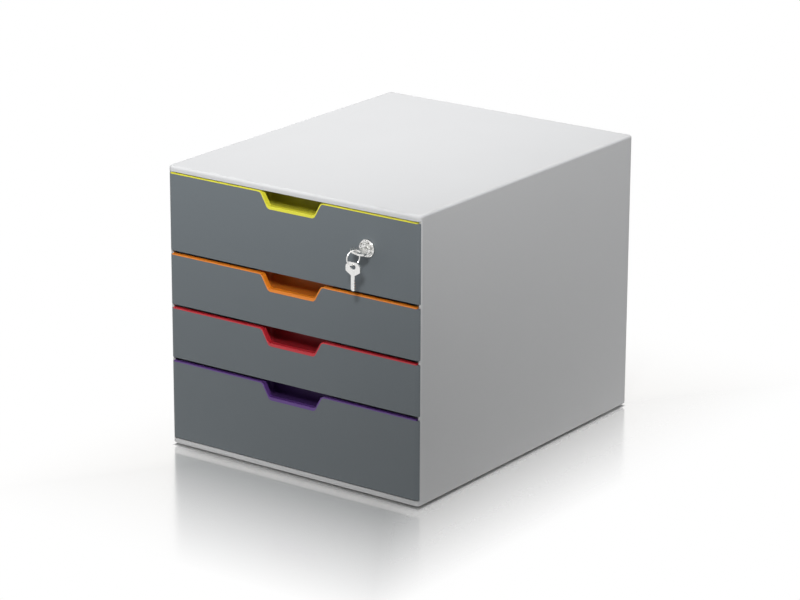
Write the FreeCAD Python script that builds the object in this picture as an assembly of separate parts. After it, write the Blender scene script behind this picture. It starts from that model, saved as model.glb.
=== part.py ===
import FreeCAD, Part
import math
import os

# Desktop file drawer: a light grey moulded case with four pull-out drawers, two deep and two shallow.
# Each drawer is a tray with a dark front panel and a coloured grip strip. The top drawer has a cam lock.
# Millimetres. X runs to the right, Y to the back and Z up; the drawers pull out towards -Y.
# Shapes are drawn with y = 0 at the drawers' front faces, and moved as a whole when they are written:
# the origin lies on the floor in the middle of the outline, with the keys counted.

Vec = FreeCAD.Vector
Z_UP = Vec(0, 0, 1)
Y_BACK = Vec(0, 1, 0)

# Case
case_width = 292.0
case_depth = 356.0
total_height = 280.0
case_wall = 3.0
case_front_round = 5.0
case_back_round = 3.0
case_top_round = 2.6
case_bottom_bevel = 1.4
top_lip_height = 5.5
bottom_lip_height = 5.5
lip_depth = 4.5
front_gap_behind = 0.3
back_cover_thickness = 3.0
back_rim_depth = 8.0
back_rim_wall = 2.0
cover_fit = 0.15

# Feet
foot_radius = 8.0
foot_stand = 2.5
foot_recess = 1.2
foot_inset = 24.0
foot_edge_bevel = 0.8
foot_fit = 0.1

# Drawer fronts, from the floor up
bottom_front_gap = 0.8
middle_front_height = 49.0
bottom_front_share = 0.506
front_spacing = 4.45
top_front_gap = 1.0
front_thickness = 2.5

# Grip strip: a coloured cap along the front's top edge, dipping round the notch, with a finger cup behind it
strip_thickness = 1.2
strip_bottom_thickness = 3.0
strip_back_wall = 1.0
strip_end_gap = 0.5
skirt_height = 6.0
notch_top_width = 71.0
notch_bottom_width = 53.6
notch_depth = 15.0
notch_top_round = 4.0
notch_bottom_round = 5.0
cup_half_width = 42.0
cup_depth = 24.0
cup_drop = 8.0
cup_wall = 1.3
cup_corner_round = 5.0

# Trays
tray_wall = 1.8
tray_floor = 2.0
tray_raise = 1.5
tray_back_gap = 3.0
tray_corner_round = 4.0
tray_front_round = 1.6
tray_floor_bevel = 1.6
side_gap = 0.6
flange_thickness = 2.2
flange_width = 3.2
flange_start = 10.0
stop_tab_length = 12.0

# Runners moulded inside the case
rib_reach = 6.0
rib_thickness = 1.8
rib_start = 8.0
rib_back_gap = 1.0
slide_gap = 0.3
stop_start = 14.0
stop_length = 8.0
drawer_travel = 250.0

# Lock
lock_x = 88.0
lock_rise = 5.8
lock_flange_radius = 8.5
lock_flange_thickness = 3.0
lock_flange_bevel = 0.8
lock_dish_radius = 6.6
lock_dish_depth = 0.6
barrel_radius = 7.1
barrel_length = 16.3
barrel_fit = 0.1
plug_radius = 5.45
plug_gap = 0.05
plug_set_back = 0.2
nut_across_flats = 19.0
nut_thickness = 3.5
cam_gap = 0.3
cam_thickness = 2.0
cam_top_gap = 1.2
cam_half_width = 6.5
cam_tip_half_width = 4.5
cam_tail = 7.0
cam_corner_round = 3.0
drive_square = 6.0
drive_fit = 0.05
screw_radius = 2.0
screw_length = 8.0
screw_head_radius = 4.0
screw_head_height = 2.2
screw_bottom_gap = 1.0
keeper_half_width = 16.0
keeper_thickness = 2.5
keeper_gap = 0.5
keeper_drop_gap = 0.7

# Keys
key_turn = 12.0
key_reach = 17.4
key_length = 27.2
key_thickness = 1.8
key_bow_half_width = 8.0
key_bow_end_half_width = 4.6
key_bow_slope = 3.8
key_bow_straight = 5.2
key_bow_length = 12.6
key_bow_round = 1.6
key_blade_half_width = 2.1
key_tip_half_width = 0.9
key_tip_length = 1.6
key_hole_width = 6.4
key_hole_height = 4.4
key_strip = 2.2
key_cut_count = 4
key_cut_depth = 0.7
key_cut_pitch = 2.6
key_cut_first = 3.2
key_groove_width = 1.2
key_groove_depth = 0.45
keyway_fit = 0.1

# Key ring
ring_wire_radius = 0.6
ring_wire_flats = 8
ring_radius = 6.9
ring_yaw = 20.0
ring_forward = 1.85
ring_drop = 4.5
spare_gap = 0.35

# Modelling
overrun = 1.0
shortest_edge = 0.001

# Places that follow from the sizes above
half_case = case_width / 2
half_inside = half_case - case_wall
case_bottom = foot_stand
inside_bottom = case_bottom + case_wall
inside_top = total_height - case_wall
shell_end = case_depth - back_cover_thickness
wall_front = front_thickness + front_gap_behind
rib_end = shell_end - back_rim_depth - rib_back_gap
rib_tip = half_inside - rib_reach
tray_half_width = rib_tip - side_gap
tray_front = front_thickness
tray_end = shell_end - tray_back_gap
strip_depth = front_thickness + tray_wall + strip_back_wall
strip_half_length = half_inside - strip_end_gap
stop_end = stop_start + stop_length
stop_tab_front = stop_end + drawer_travel + slide_gap
flange_edge = tray_half_width + flange_width
stop_face = flange_edge + side_gap
tab_edge = half_inside - side_gap

# The fronts fill the height between the lips; the top and bottom ones share what the middle ones leave
bottom_front_z = case_bottom + bottom_lip_height + bottom_front_gap
top_front_top = total_height - top_lip_height - top_front_gap - strip_thickness
deep_fronts_height = top_front_top - bottom_front_z - 2 * middle_front_height - 3 * front_spacing
lower_front_z = bottom_front_z + bottom_front_share * deep_fronts_height + front_spacing
upper_front_z = lower_front_z + middle_front_height + front_spacing
top_front_z = upper_front_z + middle_front_height + front_spacing

# Name, lower edge and upper edge of each front, from the top drawer down
drawers = [
    ("drawer_1", top_front_z, top_front_top),
    ("drawer_2", upper_front_z, upper_front_z + middle_front_height),
    ("drawer_3", lower_front_z, lower_front_z + middle_front_height),
    ("drawer_4", bottom_front_z, lower_front_z - front_spacing),
]

lock_z = (top_front_z + top_front_top) / 2 + lock_rise
cam_reach = inside_top - cam_top_gap - lock_z
cam_front = barrel_length + cam_gap
cam_back = cam_front + cam_thickness
key_front = -(lock_flange_thickness + key_reach)
ring_yaw_angle = math.radians(ring_yaw)
ring_centre = Vec(
    lock_x - ring_forward * math.sin(ring_yaw_angle),
    key_front + key_strip / 2 - ring_forward * math.cos(ring_yaw_angle),
    lock_z - ring_drop,
)
stand_out = ring_radius * math.cos(ring_yaw_angle) + ring_wire_radius - ring_centre.y
face_y = (stand_out - case_depth) / 2


def box(x0, x1, y0, y1, z0, z1):
    """Block between two corners."""
    return Part.makeBox(x1 - x0, y1 - y0, z1 - z0, Vec(x0, y0, z0))


def rounded_wire(corners, place):
    """Closed outline through corners (u, v, radius), with a tangent arc at each corner that has a radius."""
    count = len(corners)
    arcs = []
    for i, (u, v, radius) in enumerate(corners):
        here = Vec(u, v, 0)
        to_before = (Vec(corners[i - 1][0], corners[i - 1][1], 0) - here).normalize()
        to_after = (Vec(corners[(i + 1) % count][0], corners[(i + 1) % count][1], 0) - here).normalize()
        half_angle = to_before.getAngle(to_after) / 2
        reach = radius / math.tan(half_angle)
        bisector = (to_before + to_after).normalize()
        middle = here + bisector * (radius / math.sin(half_angle) - radius)
        arcs.append((here + to_before * reach, middle, here + to_after * reach))
    edges = []
    for i, (start, middle, end) in enumerate(arcs):
        if corners[i][2] > 0:
            ends = [place(p.x, p.y) for p in (start, middle, end)]
            edges.append(Part.Arc(*ends).toShape())
        following = arcs[(i + 1) % count][0]
        if (following - end).Length > shortest_edge:
            edges.append(Part.LineSegment(place(end.x, end.y), place(following.x, following.y)).toShape())
    return Part.Wire(Part.__sortEdges__(edges))


def prism_up(corners, z0, z1):
    """Outline drawn in plan, in X and Y, raised from z0 to z1."""
    face = Part.Face(rounded_wire(corners, lambda u, v: Vec(u, v, z0)))
    return face.extrude(Z_UP * (z1 - z0))


def prism_back(corners, y0, y1):
    """Outline drawn as seen from the front, in X and Z, run back from y0 to y1."""
    face = Part.Face(rounded_wire(corners, lambda u, v: Vec(u, y0, v)))
    return face.extrude(Y_BACK * (y1 - y0))


def rounded_block(half_width, y0, y1, z0, z1, front_round, back_round):
    """Upright block with rounded vertical corners."""
    corners = [
        (-half_width, y0, front_round),
        (half_width, y0, front_round),
        (half_width, y1, back_round),
        (-half_width, y1, back_round),
    ]
    return prism_up(corners, z0, z1)


def turned(profile, x, z):
    """Solid turned about a line along Y through (x, z), from a closed profile of (radius, y)."""
    points = [Vec(x + radius, y, z) for radius, y in profile]
    face = Part.Face(Part.makePolygon(points + points[:1]))
    return face.revolve(Vec(x, 0, z), Y_BACK, 360)


def edges_at_height(shape, z):
    """Edges that lie in the level plane at z."""
    return [
        edge
        for edge in shape.Edges
        if abs(edge.BoundBox.ZMin - z) < shortest_edge and abs(edge.BoundBox.ZMax - z) < shortest_edge
    ]


def mirrored(shape):
    """The same shape on the other side of the case."""
    return shape.mirror(Vec(0, 0, 0), Vec(1, 0, 0))


def notch_corners(front_top, grow):
    """Corners of the top edge with its notch, right to left, raised and drawn in by grow."""
    slope = math.atan2(notch_depth, (notch_top_width - notch_bottom_width) / 2)
    bottom_rise = strip_bottom_thickness if grow > 0 else 0
    draw_in = grow / math.sin(slope)
    top_half = notch_bottom_width / 2 + (notch_depth + grow) / math.tan(slope) - draw_in
    bottom_half = notch_bottom_width / 2 + bottom_rise / math.tan(slope) - draw_in
    top_z = front_top + grow
    bottom_z = front_top - notch_depth + bottom_rise
    top_round = notch_top_round + grow
    bottom_round = notch_bottom_round - grow
    return [
        (top_half, top_z, top_round),
        (bottom_half, bottom_z, bottom_round),
        (-bottom_half, bottom_z, bottom_round),
        (-top_half, top_z, top_round),
    ]


def notched_plate(half_width, z_low, front_top, grow, y0, y1):
    """Upright plate whose top edge dips round the notch."""
    corners = [(-half_width, z_low, 0), (half_width, z_low, 0), (half_width, front_top + grow, 0)]
    corners += notch_corners(front_top, grow)
    corners.append((-half_width, front_top + grow, 0))
    return prism_back(corners, y0, y1)


def notch_space(front_top, y0, y1):
    """The room above the notched edge, to be cut from what stands behind the front."""
    half_width = notch_top_width / 2 + notch_top_round * 2
    z_low = front_top - notch_depth - overrun
    block = box(-half_width, half_width, y0, y1, z_low, front_top + overrun)
    return block.cut(notched_plate(half_width + overrun, z_low - overrun, front_top, 0, y0, y1))


def lock_hole(y0, y1):
    """Round hole for the lock's barrel."""
    return Part.makeCylinder(barrel_radius + barrel_fit, y1 - y0, Vec(lock_x, y0, lock_z), Y_BACK)


def case_column(z0, z1):
    """The case's outline in plan, raised from z0 to z1."""
    return rounded_block(half_case, 0, case_depth, z0, z1, case_front_round, case_back_round)


def case_back_part():
    """All that lies behind the end of the shell."""
    reach = half_case + overrun
    return box(-reach, reach, shell_end, case_depth + overrun, 0, total_height + overrun)


def case_block():
    """The whole outside of the case, with rounded corners and edges."""
    block = case_column(case_bottom, total_height)
    block = block.makeFillet(case_top_round, edges_at_height(block, total_height))
    return block.makeChamfer(case_bottom_bevel, edges_at_height(block, case_bottom))


def foot_places():
    """Middle of each of the four feet."""
    x = half_case - foot_inset
    return [(side * x, y) for side in (-1, 1) for y in (foot_inset, case_depth - foot_inset)]


def runner(front_top):
    """Right-hand channel for one drawer: a ledge, a guide above it and the stop between them."""
    ledge_top = front_top - flange_thickness - slide_gap
    guide_bottom = front_top + slide_gap
    outer = half_inside + overrun
    ledge = box(rib_tip, outer, rib_start, rib_end, ledge_top - rib_thickness, ledge_top)
    guide = box(rib_tip, outer, rib_start, rib_end, guide_bottom, guide_bottom + rib_thickness)
    stop = box(stop_face, outer, stop_start, stop_end, ledge_top, guide_bottom)
    return [ledge, guide, stop]


def lock_keeper():
    """Rib under the case's top that the turned-up cam catches behind."""
    keeper_back = cam_front - keeper_gap
    return box(
        lock_x - keeper_half_width,
        lock_x + keeper_half_width,
        keeper_back - keeper_thickness,
        keeper_back,
        top_front_top + keeper_drop_gap,
        inside_top + overrun,
    )


def housing_shell():
    """Case without its back: top, bottom, sides and front lips, with the runners moulded inside."""
    lip_low = case_bottom + bottom_lip_height
    lip_high = total_height - top_lip_height
    shell = case_block()
    cuts = [
        case_back_part(),
        box(-half_inside, half_inside, lip_depth, shell_end + overrun, inside_bottom, inside_top),
        box(-half_inside, half_inside, -overrun, lip_depth + overrun, lip_low, lip_high),
        box(-half_case - overrun, half_case + overrun, -overrun, wall_front, lip_low, lip_high),
    ]
    for x, y in foot_places():
        height = foot_recess + overrun
        cuts.append(Part.makeCylinder(foot_radius + foot_fit, height, Vec(x, y, case_bottom - overrun)))
    for cut in cuts:
        shell = shell.cut(cut)
    additions = [lock_keeper()]
    for name, front_bottom, front_top in drawers:
        for piece in runner(front_top):
            additions += [piece, mirrored(piece)]
    return shell.fuse(additions).removeSplitter()


def back_cover():
    """Plate that closes the case's back, with a rim that plugs into the shell."""
    plate = case_block().common(case_back_part())
    rim_half = half_inside - cover_fit
    rim_low = inside_bottom + cover_fit
    rim_high = inside_top - cover_fit
    rim = box(-rim_half, rim_half, shell_end - back_rim_depth, shell_end, rim_low, rim_high)
    inside = box(
        -rim_half + back_rim_wall,
        rim_half - back_rim_wall,
        shell_end - back_rim_depth - overrun,
        shell_end,
        rim_low + back_rim_wall,
        rim_high - back_rim_wall,
    )
    return plate.fuse(rim.cut(inside)).removeSplitter()


def feet():
    """Four round rubber feet, seated in recesses under the case."""
    group = []
    for x, y in foot_places():
        foot = Part.makeCylinder(foot_radius, foot_stand + foot_recess, Vec(x, y, 0))
        group.append(foot.makeChamfer(foot_edge_bevel, edges_at_height(foot, 0)))
    return Part.makeCompound(group)


def follow_case(shape):
    """Trim a piece of a drawer's face to the case's rounded front corners."""
    return shape.common(case_column(0, total_height))


def front_panel(front_bottom, front_top):
    """Dark front: thin plate with the grip notch in its top and ends that follow the case's corners."""
    return follow_case(notched_plate(half_case, front_bottom, front_top, 0, 0, front_thickness))


def grip_strip(front_top):
    """Coloured strip: cap on the front's top edge, rim of the notch, skirt in the tray and finger cup."""
    strip_top = front_top + strip_thickness
    cup_floor = front_top - notch_depth - cup_drop
    skirt_front = strip_depth - strip_back_wall
    low = cup_floor - cup_wall
    cap = notched_plate(strip_half_length, low, front_top, strip_thickness, 0, skirt_front)
    under = notched_plate(half_case, low - overrun, front_top, 0, -overrun, skirt_front + overrun)
    cap = follow_case(cap.cut(under))
    skirt_half = tray_half_width - tray_corner_round
    skirt = notched_plate(skirt_half, low, front_top, strip_thickness, skirt_front, strip_depth)
    cup_half = cup_half_width + cup_wall
    for side in (-1, 1):
        ends = sorted((side * cup_half, side * (skirt_half + overrun)))
        skirt = skirt.cut(
            box(ends[0], ends[1], skirt_front, strip_depth, low - overrun, front_top - skirt_height)
        )
    cup_round = cup_corner_round + cup_wall
    cup = rounded_block(cup_half, strip_depth, cup_depth, low, strip_top, 0, cup_round)
    inside = rounded_block(
        cup_half_width,
        strip_depth,
        cup_depth - cup_wall,
        cup_floor,
        strip_top + overrun,
        0,
        cup_corner_round,
    )
    return cap.fuse([skirt, cup.cut(inside)]).removeSplitter()


def tray(front_bottom, front_top):
    """Open light grey tray with side flanges that run in the case's channels."""
    floor_z = front_bottom + tray_raise
    outer = rounded_block(
        tray_half_width, tray_front, tray_end, floor_z, front_top, tray_front_round, tray_corner_round
    )
    inner = rounded_block(
        tray_half_width - tray_wall,
        tray_front + tray_wall,
        tray_end - tray_wall,
        floor_z + tray_floor,
        front_top + overrun,
        tray_corner_round - tray_wall,
        tray_corner_round - tray_wall,
    )
    inner = inner.makeChamfer(tray_floor_bevel, edges_at_height(inner, floor_z + tray_floor))
    shell = outer.cut(inner)
    root = tray_half_width - tray_wall / 2
    low = front_top - flange_thickness
    flange = box(root, flange_edge, flange_start, tray_end - tray_corner_round, low, front_top)
    tab = box(root, tab_edge, stop_tab_front, stop_tab_front + stop_tab_length, low, front_top)
    additions = []
    for piece in (flange, tab):
        additions += [piece, mirrored(piece)]
    shell = shell.fuse(additions).removeSplitter()
    return shell.cut(notch_space(front_top, tray_front - overrun, tray_front + tray_wall + overrun))


def lock_barrel():
    """Lock body: a dished flange on the front and a round barrel that passes through it."""
    flange_front = -lock_flange_thickness
    bore = plug_radius + plug_gap
    profile = [
        (bore, flange_front + lock_dish_depth),
        (lock_dish_radius, flange_front),
        (lock_flange_radius - lock_flange_bevel, flange_front),
        (lock_flange_radius, flange_front + lock_flange_bevel),
        (lock_flange_radius, 0),
        (barrel_radius, 0),
        (barrel_radius, barrel_length),
        (bore, barrel_length),
    ]
    return turned(profile, lock_x, lock_z)


def lock_nut():
    """Hexagon nut that draws the lock tight against the inside of the tray's front wall."""
    start = front_thickness + tray_wall
    corner = nut_across_flats / 2 / math.cos(math.radians(30))
    corners = []
    for i in range(6):
        angle = math.radians(60 * i)
        corners.append((lock_x + corner * math.cos(angle), lock_z + corner * math.sin(angle), 0))
    return prism_back(corners, start, start + nut_thickness).cut(lock_hole(0, barrel_length))


def turned_with_key(shape):
    """The key and its keyway lie a little off level while the lock is open."""
    return shape.rotated(Vec(lock_x, 0, lock_z), Y_BACK, key_turn)


def lock_plug():
    """Turning core of the lock: ridged keyway in front, square drive and screw hole at the back."""
    front = -lock_flange_thickness + plug_set_back
    plug = Part.makeCylinder(plug_radius, barrel_length - front, Vec(lock_x, front, lock_z), Y_BACK)
    half = drive_square / 2
    drive_end = cam_back - drive_fit
    drive = box(lock_x - half, lock_x + half, barrel_length, drive_end, lock_z - half, lock_z + half)
    key_tip = key_front + key_length
    half_slot = key_blade_half_width + keyway_fit
    half_height = key_thickness / 2 + keyway_fit
    keyway = box(
        lock_x - half_slot,
        lock_x + half_slot,
        front - overrun,
        key_tip + keyway_fit,
        lock_z - half_height,
        lock_z + half_height,
    )
    half_ridge = key_groove_width / 2 - keyway_fit
    ridge = box(
        lock_x - half_ridge,
        lock_x + half_ridge,
        front - overrun,
        key_tip + overrun,
        lock_z + key_thickness / 2 - key_groove_depth + keyway_fit,
        lock_z + half_height + overrun,
    )
    hole_start = cam_back - screw_length - screw_bottom_gap
    hole = Part.makeCylinder(
        screw_radius + drive_fit, drive_end + overrun - hole_start, Vec(lock_x, hole_start, lock_z), Y_BACK
    )
    keyway = turned_with_key(keyway.cut(ridge))
    return plug.fuse(drive).cut(keyway).cut(hole).removeSplitter()


def lock_cam():
    """Flat steel tongue; it lies to the left when unlocked and turns up behind the keeper."""
    corners = [
        (lock_x + cam_tail, lock_z - cam_half_width, cam_corner_round),
        (lock_x + cam_tail, lock_z + cam_half_width, cam_corner_round),
        (lock_x, lock_z + cam_half_width, 0),
        (lock_x - cam_reach, lock_z + cam_tip_half_width, cam_corner_round),
        (lock_x - cam_reach, lock_z - cam_tip_half_width, cam_corner_round),
        (lock_x, lock_z - cam_half_width, 0),
    ]
    half = drive_square / 2 + drive_fit
    square = box(
        lock_x - half, lock_x + half, cam_front - overrun, cam_back + overrun, lock_z - half, lock_z + half
    )
    return prism_back(corners, cam_front, cam_back).cut(square)


def lock_cam_screw():
    """Screw that holds the cam on the plug's square drive."""
    profile = [
        (0, cam_back - screw_length),
        (screw_radius, cam_back - screw_length),
        (screw_radius, cam_back),
        (screw_head_radius, cam_back),
        (screw_head_radius, cam_back + screw_head_height),
        (0, cam_back + screw_head_height),
    ]
    return turned(profile, lock_x, lock_z)


def key_corners():
    """Outline of a key along u = 0, with the end of its bow at v = 0 and its tip at v = key_length."""
    shoulder = key_bow_slope + key_bow_straight
    right = [
        (key_bow_end_half_width, 0, key_bow_round),
        (key_bow_half_width, key_bow_slope, key_bow_round),
        (key_bow_half_width, shoulder, key_bow_round),
        (key_blade_half_width, key_bow_length, 0),
    ]
    for i in range(key_cut_count):
        start = key_bow_length + key_cut_first + i * key_cut_pitch
        right.append((key_blade_half_width, start, 0))
        right.append((key_blade_half_width - key_cut_depth, start + key_cut_pitch / 2, 0))
    right.append((key_blade_half_width, key_bow_length + key_cut_first + key_cut_count * key_cut_pitch, 0))
    left = [
        (-key_tip_half_width, key_length, 0),
        (-key_blade_half_width, key_length - key_tip_length, 0),
        (-key_blade_half_width, key_bow_length, 0),
        (-key_bow_half_width, shoulder, key_bow_round),
        (-key_bow_half_width, key_bow_slope, key_bow_round),
        (-key_bow_end_half_width, 0, key_bow_round),
    ]
    return right + [(key_tip_half_width, key_length, 0)] + left


def key_blank(place, thickness):
    """Flat key with an oblong ring hole and a grooved blade, drawn by place and raised by thickness."""
    radius = key_hole_height / 2 - shortest_edge
    half = key_hole_width / 2
    hole = [
        (-half, key_strip, radius),
        (half, key_strip, radius),
        (half, key_strip + key_hole_height, radius),
        (-half, key_strip + key_hole_height, radius),
    ]
    half_groove = key_groove_width / 2
    groove = [
        (-half_groove, key_bow_length, 0),
        (half_groove, key_bow_length, 0),
        (half_groove, key_length + overrun, 0),
        (-half_groove, key_length + overrun, 0),
    ]
    key, hole_cut, groove_cut = [
        Part.Face(rounded_wire(outline, place)).extrude(thickness)
        for outline in (key_corners(), hole, groove)
    ]
    groove_cut.translate(thickness * (1 - key_groove_depth / key_thickness))
    return key.cut(hole_cut).cut(groove_cut)


def lock_key():
    """Key in the lock, its bow standing out in front."""
    low = lock_z - key_thickness / 2
    key = key_blank(lambda u, v: Vec(lock_x - u, key_front + v, low), Z_UP * key_thickness)
    return turned_with_key(key)


def key_ring():
    """Ring of drawn wire through the bow of the key in the lock; the wire's section has flats all round."""
    axis = Vec(math.cos(ring_yaw_angle), -math.sin(ring_yaw_angle), 0)
    points = []
    for i in range(ring_wire_flats):
        angle = math.radians(360 * (i + 0.5) / ring_wire_flats)
        outward = ring_radius + ring_wire_radius * math.sin(angle)
        points.append(ring_centre + axis * (ring_wire_radius * math.cos(angle)) + Z_UP * outward)
    return Part.Face(Part.makePolygon(points + points[:1])).revolve(ring_centre, axis, 360)


def spare_key():
    """Second key, hanging by its bow from the bottom of the ring."""
    top = ring_centre.z - ring_radius + ring_wire_radius + spare_gap + key_strip
    front = ring_centre.y - key_thickness / 2
    return key_blank(lambda u, v: Vec(ring_centre.x + u, front, top - v), Y_BACK * key_thickness)


def all_nodes():
    """Every piece by the name of its node."""
    nodes = {"housing_shell": housing_shell(), "back_cover": back_cover(), "feet": feet()}
    for name, front_bottom, front_top in drawers:
        nodes[name + "_tray"] = tray(front_bottom, front_top)
        nodes[name + "_front"] = front_panel(front_bottom, front_top)
        nodes[name + "_grip"] = grip_strip(front_top)
    for name in ("drawer_1_tray", "drawer_1_front"):
        nodes[name] = nodes[name].cut(lock_hole(-overrun, barrel_length))
    nodes["lock_barrel"] = lock_barrel()
    nodes["lock_nut"] = lock_nut()
    nodes["lock_plug"] = lock_plug()
    nodes["lock_cam"] = lock_cam()
    nodes["lock_cam_screw"] = lock_cam_screw()
    nodes["lock_key"] = lock_key()
    nodes["key_ring"] = key_ring()
    nodes["spare_key"] = spare_key()
    return nodes


os.makedirs("parts", exist_ok=True)
for node_name, node_shape in all_nodes().items():
    node_shape.translate(Y_BACK * face_y)
    node_shape.exportStep("parts/" + node_name + ".step")
    print(node_name, len(node_shape.Solids), node_shape.isValid(), round(node_shape.Volume, 1))
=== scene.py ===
import math

import bpy
from mathutils import Matrix, Vector


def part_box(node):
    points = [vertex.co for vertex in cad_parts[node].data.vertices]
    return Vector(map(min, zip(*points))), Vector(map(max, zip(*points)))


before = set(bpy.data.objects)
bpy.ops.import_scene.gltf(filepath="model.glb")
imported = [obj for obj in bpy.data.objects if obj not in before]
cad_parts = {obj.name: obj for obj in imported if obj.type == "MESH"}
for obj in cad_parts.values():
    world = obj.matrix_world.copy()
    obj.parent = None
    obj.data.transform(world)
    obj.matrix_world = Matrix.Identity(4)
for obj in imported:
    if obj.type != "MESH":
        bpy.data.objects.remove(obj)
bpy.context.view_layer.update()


# The case: one light grey polystyrene moulding that makes top, sides, floor and front lips, and a moulded
# cover that plugs into its open back. The mould's spark-eroded face leaves a fine even grain on the walls,
# and the edges come out a little rounded and, where hands touch them, slightly paler.
CASE_GREY = (0.668, 0.670, 0.677)


def feed(tree, socket, value):
    """Sets an input from another socket, a number, or the three numbers of a colour or a place."""
    if isinstance(value, bpy.types.NodeSocket):
        tree.links.new(value, socket)
    elif socket.type == "RGBA":
        socket.default_value = (*value, 1)
    else:
        socket.default_value = value


def object_place(tree):
    """Where a point lies on the object, in metres."""
    return tree.nodes.new("ShaderNodeTexCoord").outputs["Object"]


def math_node(tree, operation, first, second=0.0):
    """A maths node; each input is a socket or a number."""
    node = tree.nodes.new("ShaderNodeMath")
    node.operation = operation
    feed(tree, node.inputs[0], first)
    feed(tree, node.inputs[1], second)
    return node.outputs[0]


def vector_node(tree, operation, first, second=None):
    """A vector maths node; the second input is a socket, three numbers or nothing."""
    node = tree.nodes.new("ShaderNodeVectorMath")
    node.operation = operation
    feed(tree, node.inputs[0], first)
    if second is not None:
        feed(tree, node.inputs[1], second)
    return node


def noise_node(tree, place, per_metre, detail, roughness=0.5):
    """Noise over a place, with its lumps per metre given as a socket or a number."""
    node = tree.nodes.new("ShaderNodeTexNoise")
    node.inputs["Detail"].default_value = detail
    node.inputs["Roughness"].default_value = roughness
    feed(tree, node.inputs["Vector"], place)
    feed(tree, node.inputs["Scale"], per_metre)
    return node.outputs["Fac"]


def range_node(tree, value, low, high, new_low=0.0, new_high=1.0):
    """Maps one range of a value smoothly onto another."""
    node = tree.nodes.new("ShaderNodeMapRange")
    node.interpolation_type = "SMOOTHSTEP"
    feed(tree, node.inputs["Value"], value)
    for label, number in (("From Min", low), ("From Max", high), ("To Min", new_low), ("To Max", new_high)):
        node.inputs[label].default_value = number
    return node.outputs["Result"]


def mix_colour(tree, amount, first, second):
    """Mixes two colours, each a socket or three numbers, by an amount."""
    node = tree.nodes.new("ShaderNodeMix")
    node.data_type = "RGBA"
    for index, value in ((0, amount), (6, first), (7, second)):
        feed(tree, node.inputs[index], value)
    return node.outputs[2]


def stretch_place(tree, place, scale, turn=(0.0, 0.0, 0.0)):
    """The same place turned and scaled by axis, for marks that are longer one way."""
    node = tree.nodes.new("ShaderNodeMapping")
    node.inputs["Rotation"].default_value = turn
    node.inputs["Scale"].default_value = scale
    feed(tree, node.inputs["Vector"], place)
    return node.outputs["Vector"]


def shader_group(name, inputs, outputs):
    """A shader node group with named float, colour or vector sockets, and its two end nodes."""
    group = bpy.data.node_groups.new(name, "ShaderNodeTree")
    for label, kind in inputs:
        group.interface.new_socket(label, in_out="INPUT", socket_type="NodeSocket" + kind)
    for label, kind in outputs:
        group.interface.new_socket(label, in_out="OUTPUT", socket_type="NodeSocket" + kind)
    return group, group.nodes.new("NodeGroupInput"), group.nodes.new("NodeGroupOutput")


COARSE_SCALE = 0.36
FINE_SHARE = 0.7
COARSE_SHARE = 0.3
PATCHES_PER_METRE = 22.0


def build_mould_grain():
    """Spark-eroded mould face: fine and coarse lumps, and slow patches where the grain is flatter."""
    group, start, end = shader_group(
        "mould_grain",
        [("Grain size", "Float"), ("Roughness", "Float"), ("Roughness spread", "Float")],
        [("Height", "Float"), ("Roughness", "Float")],
    )
    place = object_place(group)
    lumps_per_metre = math_node(group, "DIVIDE", 1.0, start.outputs["Grain size"])
    coarse_per_metre = math_node(group, "MULTIPLY", lumps_per_metre, COARSE_SCALE)
    lumps = noise_node(group, place, lumps_per_metre, detail=2.0, roughness=0.6)
    coarse = noise_node(group, place, coarse_per_metre, detail=1.0)
    fine_part = math_node(group, "MULTIPLY", lumps, FINE_SHARE)
    coarse_part = math_node(group, "MULTIPLY", coarse, COARSE_SHARE)
    feed(group, end.inputs["Height"], math_node(group, "ADD", fine_part, coarse_part))
    patches = noise_node(group, place, PATCHES_PER_METRE, detail=3.0)
    drift = math_node(group, "SUBTRACT", math_node(group, "ADD", patches, lumps), 1.0)
    spread = math_node(group, "MULTIPLY", drift, start.outputs["Roughness spread"])
    feed(group, end.inputs["Roughness"], math_node(group, "ADD", start.outputs["Roughness"], spread))
    return group


CLOUDS_PER_METRE = 9.0
CLOUD_SCALE = (1.0, 1.0, 0.35)
SPECKS_PER_METRE = 1900.0


def build_pigment():
    """Colour of moulded plastic: faint upright clouds in the pigment, and fine specks between the lumps."""
    group, start, end = shader_group(
        "pigment",
        [("Colour", "Color"), ("Cloud amount", "Float"), ("Speck amount", "Float")],
        [("Colour", "Color")],
    )
    place = object_place(group)
    flow = stretch_place(group, place, CLOUD_SCALE)
    clouds = noise_node(group, flow, CLOUDS_PER_METRE, detail=4.0, roughness=0.55)
    specks = noise_node(group, place, SPECKS_PER_METRE, detail=1.0)
    parts = []
    for marks, amount in ((clouds, "Cloud amount"), (specks, "Speck amount")):
        about_zero = math_node(group, "SUBTRACT", marks, 0.5)
        parts.append(math_node(group, "MULTIPLY", about_zero, start.outputs[amount]))
    tone = math_node(group, "ADD", math_node(group, "ADD", *parts), 1.0)
    toned = vector_node(group, "SCALE", start.outputs["Colour"])
    feed(group, toned.inputs["Scale"], tone)
    feed(group, end.inputs["Colour"], toned.outputs["Vector"])
    return group


EDGE_FLAT = 0.995
EDGE_TURNED = 0.8


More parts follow.
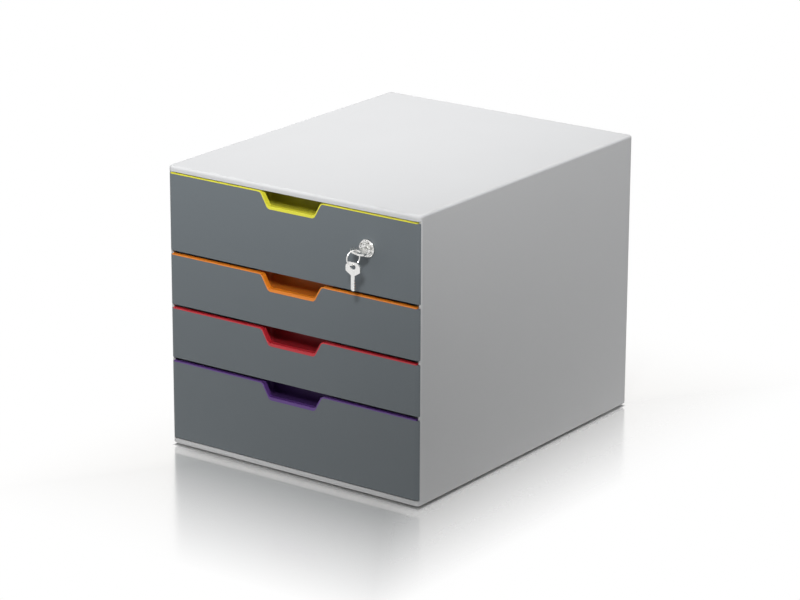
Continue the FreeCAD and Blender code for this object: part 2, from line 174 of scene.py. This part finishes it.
def build_soft_edge():
    """Rounded edges: a normal that turns over each edge within the radius, and a mask of where it does."""
    group, start, end = shader_group(
        "soft_edge", [("Radius", "Float")], [("Normal", "Vector"), ("Edge", "Float")]
    )
    bevel = group.nodes.new("ShaderNodeBevel")
    bevel.samples = 6
    feed(group, bevel.inputs["Radius"], start.outputs["Radius"])
    straight = group.nodes.new("ShaderNodeNewGeometry")
    agree = vector_node(group, "DOT_PRODUCT", bevel.outputs["Normal"], straight.outputs["Normal"])
    feed(group, end.inputs["Normal"], bevel.outputs["Normal"])
    feed(group, end.inputs["Edge"], range_node(group, agree.outputs["Value"], EDGE_FLAT, EDGE_TURNED))
    return group


mould_grain = build_mould_grain()
pigment = build_pigment()
soft_edge = build_soft_edge()


def place_group(tree, group, **values):
    """Puts a node group in a material, with its inputs set by name (spaces written as underscores)."""
    node = tree.nodes.new("ShaderNodeGroup")
    node.node_tree = group
    for label, value in values.items():
        feed(tree, node.inputs[label.replace("_", " ")], value)
    return node


def new_material(name):
    """An empty node material, its tree and its Principled shader."""
    material = bpy.data.materials.new(name)
    material.use_nodes = True
    tree = material.node_tree
    tree.nodes.clear()
    shader = tree.nodes.new("ShaderNodeBsdfPrincipled")
    output = tree.nodes.new("ShaderNodeOutputMaterial")
    tree.links.new(shader.outputs["BSDF"], output.inputs["Surface"])
    return material, tree, shader


def add_relief(tree, shader, height, depth, soft_normal=None, sunk=False):
    """Raised or sunk relief on a shader, laid over softened edges where there are any."""
    bump = tree.nodes.new("ShaderNodeBump")
    bump.invert = sunk
    bump.inputs["Distance"].default_value = depth
    feed(tree, bump.inputs["Height"], height)
    if soft_normal is not None:
        feed(tree, bump.inputs["Normal"], soft_normal)
    feed(tree, shader.inputs["Normal"], bump.outputs["Normal"])


WORN_SCALE = 1.18
WORN_LIFT = 0.02


def moulded_plastic(name, colour, grain, grain_depth, roughness, edge, wear, clouds, specks=0.06, gloss=0.5):
    """Moulded polystyrene: pigment, mould grain and slightly paler, rounded edges."""
    material, tree, shader = new_material(name)
    texture = place_group(tree, mould_grain, Grain_size=grain, Roughness=roughness, Roughness_spread=0.12)
    body = place_group(tree, pigment, Colour=colour, Cloud_amount=clouds, Speck_amount=specks)
    edges = place_group(tree, soft_edge, Radius=edge)
    paler = tuple(min(1.0, c * WORN_SCALE + WORN_LIFT) for c in colour)
    worn = math_node(tree, "MULTIPLY", edges.outputs["Edge"], wear)
    feed(tree, shader.inputs["Base Color"], mix_colour(tree, worn, body.outputs["Colour"], paler))
    feed(tree, shader.inputs["Roughness"], texture.outputs["Roughness"])
    add_relief(tree, shader, texture.outputs["Height"], grain_depth, edges.outputs["Normal"])
    shader.inputs["IOR"].default_value = 1.5
    shader.inputs["Specular IOR Level"].default_value = gloss
    return material


def dress(material, *nodes):
    """Gives CAD nodes their material."""
    for node in nodes:
        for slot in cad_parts[node].material_slots:
            slot.material = material


case_plastic = moulded_plastic(
    "case_plastic",
    CASE_GREY,
    grain=0.00035,
    grain_depth=0.000018,
    roughness=0.56,
    edge=0.0006,
    wear=0.35,
    clouds=0.035,
    gloss=0.10,
)
dress(case_plastic, "housing_shell", "back_cover")


# Four turned feet of black rubber, pressed into recesses under the case, which they lift by 2.5 mm. They are
# matt, and a little grey where dust has settled on them.
FOOT_BLACK = (0.022, 0.022, 0.023)
FOOT_DUST = (0.10, 0.098, 0.094)
FOOT_GRAIN_DEPTH = 0.00004
DUST_PER_METRE = 260.0
DUST_AMOUNT = 0.35


def foot_rubber():
    """Matt rubber with a fine open surface, greyer where dust holds."""
    material, tree, shader = new_material("foot_rubber")
    texture = place_group(tree, mould_grain, Grain_size=0.0005, Roughness=0.82, Roughness_spread=0.1)
    spots = noise_node(tree, object_place(tree), DUST_PER_METRE, detail=3.0, roughness=0.6)
    dust = range_node(tree, spots, 0.45, 0.75, 0.0, DUST_AMOUNT)
    feed(tree, shader.inputs["Base Color"], mix_colour(tree, dust, FOOT_BLACK, FOOT_DUST))
    feed(tree, shader.inputs["Roughness"], texture.outputs["Roughness"])
    add_relief(tree, shader, texture.outputs["Height"], FOOT_GRAIN_DEPTH)
    return material


dress(foot_rubber(), "feet")


# The four trays: thin-walled open mouldings in the case's grey, polished inside so that paper slides, with
# flanges along their sides that run in the case's channels.
TRAY_GREY = (0.650, 0.652, 0.658)
DRAWERS = ("drawer_1", "drawer_2", "drawer_3", "drawer_4")

tray_plastic = moulded_plastic(
    "tray_plastic",
    TRAY_GREY,
    grain=0.0006,
    grain_depth=0.000008,
    roughness=0.40,
    edge=0.0005,
    wear=0.25,
    clouds=0.04,
)
dress(tray_plastic, *[drawer + "_tray" for drawer in DRAWERS])


# The drawer fronts: graphite grey panels, 2.5 mm thick, bonded to the trays. Their faces have the finest
# grain of all, which keeps them matt, and their rounded ends carry on the case's front corners.
FRONT_GRAPHITE = (0.140, 0.161, 0.175)

front_plastic = moulded_plastic(
    "front_plastic",
    FRONT_GRAPHITE,
    grain=0.00028,
    grain_depth=0.000014,
    roughness=0.50,
    edge=0.0004,
    wear=0.30,
    clouds=0.05,
    specks=0.10,
)
dress(front_plastic, *[drawer + "_front" for drawer in DRAWERS])


# The grip strips: each a bright moulding, smooth and satin, snapped over the top edge of the front. A thin
# flush edge shows in front, its cap rounds the notch, and a cup behind takes the fingertips.
GRIP_COLOURS = {
    "drawer_1": (0.830, 0.780, 0.055),
    "drawer_2": (0.940, 0.270, 0.018),
    "drawer_3": (0.620, 0.024, 0.038),
    "drawer_4": (0.130, 0.050, 0.270),
}
# The cup numbers set painted shade: the cup's colour goes darker and greyer with the depth behind the front.
CUP_MOUTH = 0.005
CUP_DEEP = 0.013
CUP_PAINTED_SHADE = 0.62
CUP_SHADE = 0.30
CUP_GREY = 0.012


def paint_cup_shade(material, colour, front):
    """Painted shade in the cup: behind the front its colour is darkened and greyed more with the depth."""
    tree = material.node_tree
    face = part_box(front)[0].y
    parts = tree.nodes.new("ShaderNodeSeparateXYZ")
    feed(tree, parts.inputs[0], object_place(tree))
    depth = range_node(tree, parts.outputs["Y"], face + CUP_MOUTH, face + CUP_DEEP, 0.0, CUP_PAINTED_SHADE)
    base = tree.nodes["Principled BSDF"].inputs["Base Color"]
    cup_shade_colour = tuple(c * CUP_SHADE + CUP_GREY for c in colour)
    feed(tree, base, mix_colour(tree, depth, base.links[0].from_socket, cup_shade_colour))


for drawer, colour in GRIP_COLOURS.items():
    grip_plastic = moulded_plastic(
        "grip_plastic_" + drawer,
        colour,
        grain=0.0005,
        grain_depth=0.000005,
        roughness=0.34,
        edge=0.0003,
        wear=0.20,
        clouds=0.05,
        specks=0.03,
    )
    # Paints shade into the cup behind the front.
    paint_cup_shade(grip_plastic, colour, drawer + "_front")
    dress(grip_plastic, drawer + "_grip")


# The lock: a turned brass body and plug, nickel plated and polished, held in the top drawer by a nut behind.
# The tongue, the nut and the screw are zinc-plated steel.
NICKEL = (0.800, 0.798, 0.782)
ZINC = (0.52, 0.53, 0.54)
SCUFFS_PER_METRE = 900.0
SCUFF_ROUGHNESS = 0.10
TARNISH_PER_METRE = 1100.0
TARNISH_SHADE = 0.34


def build_turning_marks():
    """Fine rings left by turning, about a line along Y, with scuffs and spots of tarnish over them."""
    group, start, end = shader_group(
        "turning_marks",
        [("Centre", "Vector"), ("Ring spacing", "Float"), ("Roughness", "Float")],
        [("Height", "Float"), ("Roughness", "Float"), ("Tarnish", "Float")],
    )
    place = object_place(group)
    offset = vector_node(group, "SUBTRACT", place, start.outputs["Centre"])
    flat = vector_node(group, "MULTIPLY", offset.outputs["Vector"], (1.0, 0.0, 1.0))
    radius = vector_node(group, "LENGTH", flat.outputs["Vector"])
    turns = math_node(group, "DIVIDE", radius.outputs["Value"], start.outputs["Ring spacing"])
    rings = math_node(group, "SINE", math_node(group, "MULTIPLY", turns, 2 * math.pi))
    feed(group, end.inputs["Height"], rings)
    scuffs = noise_node(group, place, SCUFFS_PER_METRE, detail=3.0, roughness=0.6)
    scuffed = math_node(group, "MULTIPLY", scuffs, SCUFF_ROUGHNESS)
    feed(group, end.inputs["Roughness"], math_node(group, "ADD", start.outputs["Roughness"], scuffed))
    spots = noise_node(group, place, TARNISH_PER_METRE, detail=2.0)
    feed(group, end.inputs["Tarnish"], range_node(group, spots, 0.48, 0.66))
    return group


turning_marks = build_turning_marks()
barrel_low, barrel_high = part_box("lock_barrel")
lock_axis = (barrel_low + barrel_high) / 2


def plated_metal(name, colour, roughness, ring_spacing, ring_depth, edge):
    """Plated metal with turning marks, scuffs and spots of tarnish."""
    material, tree, shader = new_material(name)
    marks = place_group(
        tree, turning_marks, Centre=lock_axis, Ring_spacing=ring_spacing, Roughness=roughness
    )
    edges = place_group(tree, soft_edge, Radius=edge)
    tarnished = tuple(c * TARNISH_SHADE for c in colour)
    feed(tree, shader.inputs["Base Color"], mix_colour(tree, marks.outputs["Tarnish"], colour, tarnished))
    feed(tree, shader.inputs["Roughness"], marks.outputs["Roughness"])
    add_relief(tree, shader, marks.outputs["Height"], ring_depth, edges.outputs["Normal"])
    shader.inputs["Metallic"].default_value = 1.0
    return material


lock_nickel = plated_metal(
    "lock_nickel", NICKEL, roughness=0.10, ring_spacing=0.0004, ring_depth=0.0000015, edge=0.0003
)
lock_zinc = plated_metal(
    "lock_zinc", ZINC, roughness=0.30, ring_spacing=0.0007, ring_depth=0.000004, edge=0.0003
)
dress(lock_nickel, "lock_barrel", "lock_plug")
dress(lock_zinc, "lock_nut", "lock_cam", "lock_cam_screw")


# The keys and their ring: stamped nickel-plated brass blanks with cut blades, one in the lock and one
# hanging from a wire ring. Stamping leaves soft edges, and the pocket leaves fine scratches.
KEY_WORN = (0.62, 0.60, 0.57)
KEY_EDGE = 0.0003
KEY_ROUGHNESS = 0.24
SCRATCH_ROUGHNESS = 0.15
SCRATCH_DEPTH = 0.000004
SCRATCHES_PER_METRE = 2600.0
SCRATCH_SCALE = (1.0, 1.0, 0.04)
SCRATCH_TILT = 0.4
SCRATCH_TURNS = (0.3, 1.2, 2.2)


def key_nickel():
    """Satin nickel with fine straight scratches in many directions."""
    material, tree, shader = new_material("key_nickel")
    place = object_place(tree)
    scratches = None
    for turn in SCRATCH_TURNS:
        along = stretch_place(tree, place, SCRATCH_SCALE, (turn, SCRATCH_TILT, turn))
        streaks = noise_node(tree, along, SCRATCHES_PER_METRE, detail=2.0)
        lines = range_node(tree, streaks, 0.6, 0.75)
        scratches = lines if scratches is None else math_node(tree, "MAXIMUM", scratches, lines)
    edges = place_group(tree, soft_edge, Radius=KEY_EDGE)
    feed(tree, shader.inputs["Base Color"], mix_colour(tree, scratches, NICKEL, KEY_WORN))
    scratched = math_node(tree, "MULTIPLY", scratches, SCRATCH_ROUGHNESS)
    feed(tree, shader.inputs["Roughness"], math_node(tree, "ADD", scratched, KEY_ROUGHNESS))
    add_relief(tree, shader, scratches, SCRATCH_DEPTH, edges.outputs["Normal"], sunk=True)
    shader.inputs["Metallic"].default_value = 1.0
    return material


dress(key_nickel(), "lock_key", "spare_key", "key_ring")


# The floor: a plain pale sheet with a satin face. Near the case it mirrors the walls and keeps their shadow,
# and both fade within a hand's breadth or two into white. Under the case, where no light comes, it is dark.
FLOOR_HALF = 6.0
FLOOR_PALE = (0.80, 0.80, 0.792)
FLOOR_DULL = (0.77, 0.77, 0.764)
FLOOR_ROUGHNESS = 0.6
FLOOR_CLOUDS_PER_METRE = 40.0
SHEEN_AMOUNT = 0.66
SHEEN_ROUGHNESS = 0.16
SHADOW_AMOUNT = 0.50
SHEEN_MIDDLE = (0.0, 0.0141, 0.0)
SHADOW_MIDDLE = (0.022, 0.0, 0.0)
FADE_START = (0.108, 0.178)
FADE_WIDTH = (0.153, 0.230)
UNDER_START = (0.1450, 0.1770)
UNDER_WIDTH = (0.002, 0.002)
MIRROR_TINT = (1.0, 0.988, 0.970)


def nearness(tree, place, middle, starts=FADE_START, widths=FADE_WIDTH):
    """One under the case, and falling to zero outwards from a rectangle about a middle."""
    offset = vector_node(tree, "SUBTRACT", place, middle)
    parts = tree.nodes.new("ShaderNodeSeparateXYZ")
    feed(tree, parts.inputs[0], offset.outputs["Vector"])
    ramps = []
    for axis, start, width in zip(parts.outputs, starts, widths):
        away = math_node(tree, "SUBTRACT", math_node(tree, "ABSOLUTE", axis), start)
        ramps.append(math_node(tree, "DIVIDE", away, width))
    away = math_node(tree, "MAXIMUM", math_node(tree, "MAXIMUM", *ramps), 0.0)
    return math_node(tree, "SUBTRACT", 1.0, math_node(tree, "MINIMUM", away, 1.0))


def seen_rays(tree):
    """One for the rays that show a surface: from the camera, in a reflection or through something clear."""
    rays = tree.nodes.new("ShaderNodeLightPath")
    seen = math_node(tree, "MAXIMUM", rays.outputs["Is Camera Ray"], rays.outputs["Is Glossy Ray"])
    return math_node(tree, "MAXIMUM", seen, rays.outputs["Is Transmission Ray"])


def mix_shader(tree, amount, first, second):
    """Mixes two shaders by an amount."""
    node = tree.nodes.new("ShaderNodeMixShader")
    for socket, value in zip(node.inputs, (amount, first, second)):
        feed(tree, socket, value)
    return node.outputs["Shader"]


def studio_floor():
    """One square sheet; cameras and reflections see its lit face blend into white."""
    mesh = bpy.data.meshes.new("studio_floor")
    corners = [(x * FLOOR_HALF, y * FLOOR_HALF, 0) for x, y in ((-1, -1), (1, -1), (1, 1), (-1, 1))]
    mesh.from_pydata(corners, [], [(0, 1, 2, 3)])
    floor = bpy.data.objects.new("studio_floor", mesh)
    bpy.context.scene.collection.objects.link(floor)
    material, tree, shader = new_material("studio_floor")
    shader.inputs["Roughness"].default_value = FLOOR_ROUGHNESS
    place = object_place(tree)
    tone = range_node(tree, noise_node(tree, place, FLOOR_CLOUDS_PER_METRE, detail=4.0), 0.3, 0.7)
    feed(tree, shader.inputs["Base Color"], mix_colour(tree, tone, FLOOR_PALE, FLOOR_DULL))
    near = nearness(tree, place, SHEEN_MIDDLE)
    shaded = nearness(tree, place, SHADOW_MIDDLE)
    under = nearness(tree, place, SHEEN_MIDDLE, UNDER_START, UNDER_WIDTH)
    open_floor = math_node(tree, "SUBTRACT", 1.0, under)
    shadow = math_node(tree, "MULTIPLY", math_node(tree, "MULTIPLY", shaded, shaded), SHADOW_AMOUNT)
    lit = math_node(tree, "MULTIPLY", math_node(tree, "SUBTRACT", 1.0, shadow), open_floor)
    whiteness = math_node(tree, "MULTIPLY", lit, seen_rays(tree))
    white = tree.nodes.new("ShaderNodeEmission")
    face = mix_shader(tree, whiteness, shader.outputs["BSDF"], white.outputs["Emission"])
    mirror = tree.nodes.new("ShaderNodeBsdfGlossy")
    mirror.inputs["Roughness"].default_value = SHEEN_ROUGHNESS
    feed(tree, mirror.inputs["Color"], MIRROR_TINT)
    sheen = math_node(tree, "MULTIPLY", math_node(tree, "MULTIPLY", near, SHEEN_AMOUNT), open_floor)
    satin = mix_shader(tree, sheen, face, mirror.outputs["BSDF"])
    feed(tree, tree.nodes["Material Output"].inputs["Surface"], satin)
    floor.data.materials.append(material)
    return floor


studio_floor()


# The studio light: an even pale surround, a wide soft light overhead and a small one in front, to the right
# and above, aimed high so that it shades the fronts from top to bottom and throws the keys' shadow.
SURROUND = 0.17
SURROUND_COLOUR = (0.97, 0.99, 1.0)
WHITE = (1.0, 1.0, 1.0)


def studio_surround():
    """World that the camera and reflections see as white, and that lights the case more dimly."""
    world = bpy.data.worlds.new("studio_surround")
    world.use_nodes = True
    bpy.context.scene.world = world
    tree = world.node_tree
    sky = tree.nodes["Background"]
    seen = seen_rays(tree)
    strength = tree.nodes.new("ShaderNodeMix")
    for index, value in ((0, seen), (2, SURROUND), (3, 1.0)):
        feed(tree, strength.inputs[index], value)
    feed(tree, sky.inputs["Strength"], strength.outputs[0])
    feed(tree, sky.inputs["Color"], mix_colour(tree, seen, SURROUND_COLOUR, WHITE))


def soft_light(name, place, aim, side, power, spread=180.0):
    """A square studio light; a spread under 180 degrees stands for the grid in front of it."""
    lamp = bpy.data.lights.new(name, "AREA")
    lamp.shape = "SQUARE"
    lamp.size = side
    lamp.energy = power
    lamp.spread = math.radians(spread)
    light = bpy.data.objects.new(name, lamp)
    bpy.context.scene.collection.objects.link(light)
    light.location = place
    light.rotation_mode = "QUATERNION"
    light.rotation_quaternion = (Vector(aim) - Vector(place)).to_track_quat("-Z", "Y")


studio_surround()
soft_light("overhead_light", place=(0.0, 0.05, 1.6), aim=(0.0, 0.05, 0.0), side=1.4, power=11.2)
soft_light(
    "front_light", place=(0.85, -1.61, 1.50), aim=(-0.07, -0.16, 1.00), side=0.30, power=10.1, spread=54.0
)


# The camera: a long lens from the front right, a little above, at the photograph's angle. Its turn, rise and
# roll are about the middle of the case, and it has no shift.
CASE_MIDDLE = Vector((0.0, 0.0141, 0.14))
CAMERA_TURN = math.radians(35.82)
CAMERA_RISE = math.radians(17.71)
CAMERA_ROLL = math.radians(0.23)
CAMERA_DISTANCE = 3.146
CAMERA_RIGHT = -0.0035
CAMERA_UP = -0.0107
CAMERA_LENS = 145.93
CAMERA_NEAREST = 0.05
CAMERA_FURTHEST = 50.0


def photo_camera():
    """Camera from its turn, rise and roll about the middle of the case."""
    right = Vector((math.cos(CAMERA_TURN), math.sin(CAMERA_TURN), 0.0))
    outward = Vector((math.sin(CAMERA_TURN), -math.cos(CAMERA_TURN), 0.0))
    back = outward * math.cos(CAMERA_RISE) + Vector((0.0, 0.0, math.sin(CAMERA_RISE)))
    up = back.cross(right)
    place = CASE_MIDDLE + back * CAMERA_DISTANCE + right * CAMERA_RIGHT + up * CAMERA_UP
    rolled_right = right * math.cos(CAMERA_ROLL) + up * math.sin(CAMERA_ROLL)
    rolled_up = back.cross(rolled_right)
    camera = bpy.data.cameras.new("photo_camera")
    camera.lens = CAMERA_LENS
    camera.clip_start = CAMERA_NEAREST
    camera.clip_end = CAMERA_FURTHEST
    view = bpy.data.objects.new("photo_camera", camera)
    bpy.context.scene.collection.objects.link(view)
    turn = Matrix((rolled_right, rolled_up, back)).transposed()
    view.matrix_world = Matrix.Translation(place) @ turn.to_4x4()
    bpy.context.scene.camera = view


photo_camera()
bpy.context.scene.view_settings.view_transform = "Standard"
